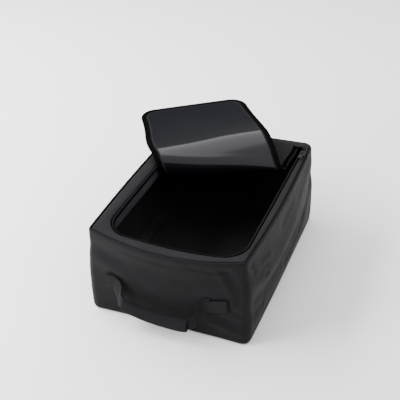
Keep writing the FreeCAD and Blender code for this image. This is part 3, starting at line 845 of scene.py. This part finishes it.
def hang_on_join(piece, index):
    """Attach a piece of lid cloth to its join's body when the join has only one; other pieces are left in
    place, unattached.
    """
    first, second = LID_JOINS[index][1:]
    if second is None:
        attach(piece, first)
        return
    if index == 0:
        start, end = (0.0, -1.5), (0.0, REAR_CUT)
    else:
        start, end = (0.0, cut_run(0.0, CUTS[index - 2])), (0.0, cut_run(0.0, CUTS[index - 1]))
    low = turned_back(*start, FOLD_LEVEL) * MM
    high = turned_back(*end, FOLD_LEVEL) * MM
    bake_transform(piece)


def stand_for_station(index, layers):
    """The cloth that is drawn takes the place of the plain strips of the same stretch."""
    if STATIONS[index]:
        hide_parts(*["flap_%s_%s" % (layer, STATIONS[index]) for layer in layers])


def panel_grid(index, half, length, radius, columns=60):
    """Flat places of one stretch of a lid panel, as x and run."""
    lean = np.linspace(-1.0, 1.0, columns)
    x = half * np.sin(lean * math.pi / 2) if index == LAST_JOIN else half * lean
    start, end = join_limits(index, x)
    if end is None:
        end = free_edge(x, half, length, radius)
    rows = JOIN_ROWS.get(index, ROLL_ROWS)
    share = np.linspace(0.0, 1.0, rows)
    run = start[:, None] * (1 - share) + end[:, None] * share
    return np.repeat(x[:, None], rows, 1), run


def lid_panel(label, inset, level, thickness, material, layers, flip):
    """One cloth layer of the lid, in the stretches that its joins need."""
    half, length, radius = LID_HALF - inset, LID_LENGTH - inset, max(LID_RADIUS - inset, 6.0)
    for index, name in enumerate(JOIN_NAMES):
        x, run = panel_grid(index, half, length, radius)
        piece = cloth_sheet("lid_%s_%s" % (label, name), lid_point(x, run, level), thickness, flip=flip)
        match_normals(piece, lid_normals(x, run, level) * (1.0 if flip else -1.0))
        finish_piece(piece, material)
        hang_on_join(piece, index)
        if 0 < index:
            stand_for_station(index, layers)


def edge_band(index, outer, inner, columns=9):
    """Flat places of a band along the lid's edge, between two insets: a list of x and run grids."""
    insets = np.linspace(outer, inner, columns)
    bands = []
    if index < LAST_JOIN:
        for side in (-1, 1):
            x = side * (LID_HALF - insets)
            start, end = join_limits(index, x)
            rows = JOIN_ROWS.get(index, ROLL_ROWS)
            share = np.linspace(0.0, 1.0, rows)[:, None]
            run = start[None, :] * (1 - share) + end[None, :] * share
            bands.append((np.repeat(x[None, :], rows, 0), run))
        return bands
    turn = np.radians(np.linspace(0.0, 90.0, 14))[:, None]
    rows_x, rows_run = [], []
    half = LID_HALF - insets[None, :]
    radius = LID_RADIUS - insets[None, :]
    length = LID_LENGTH - insets[None, :]
    share = np.linspace(0.0, 1.0, 40)[:, None]
    left_start = cut_run(-half, CUTS[-1])
    right_start = cut_run(half, CUTS[-1])
    rows_x.append(-half + 0 * share)
    rows_run.append(left_start * (1 - share) + (length - radius) * share)
    rows_x.append(-half + radius - radius * np.cos(turn[1:]))
    rows_run.append(length - radius + radius * np.sin(turn[1:]))
    rows_x.append((-half + radius) * (1 - share[1:]) + (half - radius) * share[1:])
    rows_run.append(length + 0 * share[1:])
    rows_x.append(half - radius + radius * np.sin(turn[1:]))
    rows_run.append(length - radius + radius * np.cos(turn[1:]))
    rows_x.append(half + 0 * share[1:])
    rows_run.append((length - radius) * (1 - share[1:]) + right_start * share[1:])
    bands.append((np.concatenate(rows_x), np.concatenate(rows_run)))
    return bands


def edge_cloth(label, outer, inner, crown, level, thickness, material, layer):
    """Cloth along the lid's edge between two insets, crowned by crown on the lining side."""
    for index, name in enumerate(JOIN_NAMES):
        for number, (x, run) in enumerate(edge_band(index, outer, inner)):
            share = np.linspace(0.0, 1.0, x.shape[1])[None, :]
            depth = level - crown * np.sin(math.pi * share) ** 0.7 + 0.0 * x
            points = lid_point(x, run, depth)
            piece = cloth_sheet("lid_%s_%s_%d" % (label, name, number), points, thickness,
                                flip=surface_faces_up(points, x, run))
            finish_piece(piece, material)
            hang_on_join(piece, index)
            if layer and number == 0:
                stand_for_station(index, (layer,))


def lid_tape():
    edge_cloth("tape", 0.0, 10.5, 0.15, LINING_LEVEL + 0.3, 0.7, TAPE, "zip_tape")
    # The binding wears the same fabric painted lighter, for the light on the top.
    edge_cloth("binding", 9.6, 12.6, 1.3, LINING_LEVEL + 0.1, 0.5, TOP_FABRIC_PAINTED_LIGHTER, None)


def lid_stitches():
    for index, name in enumerate(JOIN_NAMES):
        for number, (x, run) in enumerate(edge_band(index, 8.4, 8.41, 2)):
            line = lid_point(x[:, 0], run[:, 0], LINING_LEVEL - 0.35)
            hang_on_join(stitch_row("lid_stitches_%s_%d" % (name, number), line, 3.2), index)


def surface_faces_up(points, x, run):
    """Whether a band's grid has to be flipped so that its outer face is the lining side."""
    normal = surface_normals(points)
    below = lid_point(x, run, LINING_LEVEL - 1.0) - lid_point(x, run, LINING_LEVEL)
    return float((normal * below).sum()) < 0.0


def lid_coil():
    for index, name in enumerate(JOIN_NAMES):
        if index == 0:
            continue
        for number, (x, run) in enumerate(edge_band(index, 0.0, COIL_WIDTH)):
            line = lid_point(x[:, 0], run[:, 0], LINING_LEVEL + 1.2)
            across = lid_point(x[:, -1], run[:, -1], LINING_LEVEL + 1.2) - line
            up = lid_point(x[:, 0], run[:, 0], LINING_LEVEL + 2.2) - line
            piece = coil_teeth("lid_coil_%s_%d" % (name, number), line, across, up)
            finish_piece(piece, COIL)
            hang_on_join(piece, index)
            if number == 0:
                stand_for_station(index, ("zip_coil",))


# ---------------------------------------------------------------- handle
HANDLE_LOW, HANDLE_HIGH = node_box("handle_grip_cover")
PATCH_LEFT = node_box("handle_patch_left")
PATCH_RIGHT = node_box("handle_patch_right")


def smooth_line(points, count):
    """A smooth line through given points."""
    points = np.array(points, float)
    steps = np.concatenate([[0.0], np.cumsum(np.linalg.norm(np.diff(points, axis=0), axis=1))])
    slopes = np.gradient(points, steps, axis=0)
    wanted = np.linspace(0.0, steps[-1], count)
    index = np.clip(np.searchsorted(steps, wanted, side="right") - 1, 0, len(points) - 2)
    span = (steps[index + 1] - steps[index])[:, None]
    t = ((wanted - steps[index]) / span[:, 0])[:, None]
    h00, h10 = 2 * t ** 3 - 3 * t ** 2 + 1, t ** 3 - 2 * t ** 2 + t
    h01, h11 = -2 * t ** 3 + 3 * t ** 2, t ** 3 - t ** 2
    return (h00 * points[index] + h10 * span * slopes[index]
            + h01 * points[index + 1] + h11 * span * slopes[index + 1])


def ribbon(name, upper, lower, thickness, columns=9):
    """A strap between an upper and a lower edge line, slightly crowned."""
    share = np.linspace(0.0, 1.0, columns)[None, :, None]
    points = upper[:, None, :] * (1 - share) + lower[:, None, :] * share
    normals = surface_normals(points)
    crown = 0.5 * np.sin(np.pi * share)
    points = points + normals * crown * np.sign(-normals[..., 1:2].mean())
    flip = normals[..., 1].mean() > 0
    return cloth_sheet(name, points, thickness, flip=bool(flip))


GRIP_Y = (HANDLE_LOW[1] + HANDLE_HIGH[1]) / 2
GRIP_LEAN = math.tan(math.radians(12.0))
# Edge lines of the straps: across the bag, clear of the wall, and height.
LEFT_UPPER = [(-88, 1.8, 79), (-78, 3, 76), (-70, 5, 71), (-66, 9, 64), (-65, 15, 57), (-60.5, 19, 51)]
LEFT_LOWER = [(-90, 1.6, 58), (-83, 2.6, 50), (-77, 7, 41), (-72, 13, 34), (-69, 17, 32), (-60.5, 19, 32)]
RIGHT_UPPER = [(40, 20, 42), (45, 18.5, 43.5), (50.5, 15, 50), (53, 10, 62),
               (57, 5, 70.5), (62, 2.6, 75), (70, 2.0, 76)]
RIGHT_LOWER = [(40, 20, 23), (46, 18, 24), (52, 15, 28), (54, 10, 38),
               (57, 6, 47), (62, 3.2, 53), (70, 2.0, 54)]


def on_front(points):
    """Points given as across, clear of the front wall and height, placed on the slumped wall."""
    across, clear, height = np.array(points, float).T
    placed = settle(stack(across, -HALF_Y, height))
    return stack(across, placed[:, 1] - clear, height)


def handle_straps():
    lines = (("left", LEFT_UPPER, LEFT_LOWER), ("right", RIGHT_UPPER, RIGHT_LOWER))
    for side, upper, lower in lines:
        upper, lower = on_front(upper), on_front(lower)
        piece = ribbon("handle_strap_" + side, smooth_line(upper, 30), smooth_line(lower, 30), 1.8)
        finish_piece(piece, WEBBING)
        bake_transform(piece)
        if side == "left":
            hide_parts("handle_strap")


def handle_grip():
    """The padded cover of the grip: a flattened tube with a seam along its top."""
    rows, around = 60, 40
    x = np.linspace(-61.0, 41.0, rows)
    share = (x - x[0]) / (x[-1] - x[0])
    centre_z = 41.0 - 30.0 * share + 20.0 * share ** 2
    angles = np.linspace(0.0, 2 * np.pi, around, endpoint=False)
    end_pinch = 1.0 - 0.12 * (np.abs(2 * share - 1) ** 10)
    half_height, half_depth = 9.4 * end_pinch, 3.0 * end_pinch
    shape_z = np.sign(np.sin(angles)) * np.abs(np.sin(angles)) ** 0.55
    shape_y = np.sign(np.cos(angles)) * np.abs(np.cos(angles)) ** 0.8
    z = centre_z[:, None] + half_height[:, None] * shape_z[None, :]
    lean = (z - centre_z[:, None]) * GRIP_LEAN
    y = GRIP_Y + half_depth[:, None] * shape_y[None, :] + lean
    points = stack(np.repeat(x[:, None], around, 1), y, z).transpose(1, 0, 2)
    points = points + surface_normals(points, True) * unevenness(points, 0.5, 14.0)[..., None]
    piece = cloth_sheet("handle_grip", points, 1.0, closed_u=True, flip=True)
    finish_piece(piece, WEBBING, "handle",
                 ("handle_grip_cover", "handle_padding_front", "handle_padding_back"))
    for side in (-1, 1):
        lift = side * (half_height - 2.6)
        front = GRIP_Y - half_depth - 0.9 + lift * GRIP_LEAN
        stitch_row("handle_grip_stitches_%s" % ("low" if side < 0 else "high"),
                   stack(x[2:-2], front[2:-2], (centre_z + lift)[2:-2]), 3.0, body="handle")


def handle_patches():
    spans = (("left", PATCH_LEFT, -88.0, -77.0, -0.4), ("right", PATCH_RIGHT, 61.5, 90.0, 0.3))
    for side, (low, high), first, last, lean in spans:
        x = np.linspace(first, last, 14)[:, None]
        z = np.linspace(high[2], low[2], 14)[None, :]
        middle = (first + last) / 2
        slope = (x - middle) * lean
        flat = stack(x + 0 * z, -HALF_Y + 0 * z, z + slope)
        soft = settle(flat)
        soft[..., 1] -= 1.4
        piece = cloth_sheet("handle_patch_" + side + "_cloth", soft, 1.4)
        if surface_normals(soft)[..., 1].mean() > 0:
            piece.data.flip_normals()
        finish_piece(piece, WEBBING, "bag", ("handle_patch_" + side,))
        corners = [(1, 1), (-2, 1), (-2, -2), (1, -2), (1, 1), (-2, -2), (-2, 1), (1, -2)]
        box = np.array([soft[corner] for corner in corners])
        box[:, 1] -= 0.25
        stitch_row("handle_patch_%s_stitches" % side, box, 2.6, body="bag")


# ---------------------------------------------------------------- stage
CAMERA_PLACE = (0.36517, -1.00868, 0.80227)
CAMERA_AZIMUTH = math.radians(20.709)
CAMERA_ELEVATION = math.radians(32.663)
CAMERA_LENS = 72.0
FLOOR_REACH = 4.0
# Level soft boxes: place in metres, width, depth, watts, and turn in plan in degrees.
SOFT_BOXES = {"ceiling_rear": ((-0.121, 1.634, 1.3), 2.8, 0.45, 19.0, 32.0),
              "ceiling_middle": ((0.197, 1.125, 1.3), 2.8, 0.75, 22.0, 32.0),
              "ceiling_front": ((0.9255, -0.041, 1.3), 2.8, 2.0, 26.0, 32.0),
              "ceiling_left": ((-1.45, -0.4, 1.35), 1.1, 2.2, 130.0, 0.0),
              "ceiling_right": ((1.6, -0.4, 1.35), 0.9, 2.2, 18.0, 0.0)}


def camera():
    """A long lens above the front-right corner, looking down at the bag."""
    azimuth, elevation = CAMERA_AZIMUTH, CAMERA_ELEVATION
    back = Vector((math.sin(azimuth) * math.cos(elevation), -math.cos(azimuth) * math.cos(elevation),
                   math.sin(elevation)))
    lens = bpy.data.cameras.new("camera")
    lens.lens = CAMERA_LENS
    lens.sensor_width = 36.0
    eye = bpy.data.objects.new("camera", lens)
    eye.location = CAMERA_PLACE
    eye.rotation_euler = back.to_track_quat("Z", "Y").to_euler()
    bpy.context.scene.collection.objects.link(eye)
    bpy.context.scene.camera = eye


def area_light(name, place, target, width, height, power):
    lamp = bpy.data.lights.new(name, "AREA")
    lamp.shape = "RECTANGLE"
    lamp.size, lamp.size_y = width, height
    lamp.energy = power
    holder = bpy.data.objects.new(name, lamp)
    holder.location = place
    holder.rotation_euler = (Vector(place) - Vector(target)).to_track_quat("Z", "Y").to_euler()
    bpy.context.scene.collection.objects.link(holder)


def ceiling_light(name, place, width, depth, power, turn):
    """A level soft box that shines straight down, turned in plan by turn degrees."""
    area_light(name, place, (place[0], place[1], 0.0), width, depth, power)
    bpy.data.objects[name].rotation_euler = (0.0, 0.0, math.radians(turn))


def studio():
    corners = np.array([(-1, -1, 0), (1, -1, 0), (1, 1, 0), (-1, 1, 0)]) * FLOOR_REACH
    floor = mesh_object("floor", corners / MM, [(0, 1, 2, 3)])
    floor.data.materials.append(new_material("floor_paper", (0.96, 0.96, 0.96), 0.9)[0])
    floor.location.z = -0.0003
    world = bpy.data.worlds.new("studio")
    world.use_nodes = True
    sky = world.node_tree.nodes["Background"].inputs
    sky["Color"].default_value = (0.62, 0.65, 0.7, 1.0)
    sky["Strength"].default_value = 0.16
    bpy.context.scene.world = world
    for name, setting in SOFT_BOXES.items():
        ceiling_light(name, *setting)
    area_light("left_card", (-0.72, -0.78, 0.42), (-0.12, -0.15, 0.08), 0.4, 0.5, 8.0)


bag_walls()
bag_border()
bag_lining()
bag_floor()
bag_zip_tape()
bag_coil()
lid_panel("outer", 9.0, HEIGHT - 0.2, 1.6, FABRIC, ("outer", "padding"), False)
lid_panel("lining", 11.4, LINING_LEVEL, 0.8, GLOSSY, ("lining",), True)
lid_tape()
lid_coil()
lid_stitches()
handle_straps()
handle_grip()
handle_patches()
CAD_LOOKS = {"zip_slider": METAL, "zip_slider_crown": METAL, "zip_puller": METAL,
             "zip_stop_left": COIL, "zip_stop_right": COIL}
for node, look in CAD_LOOKS.items():
    frame["nodes"][node].data.materials.clear()
    frame["nodes"][node].data.materials.append(look)
camera()
studio()
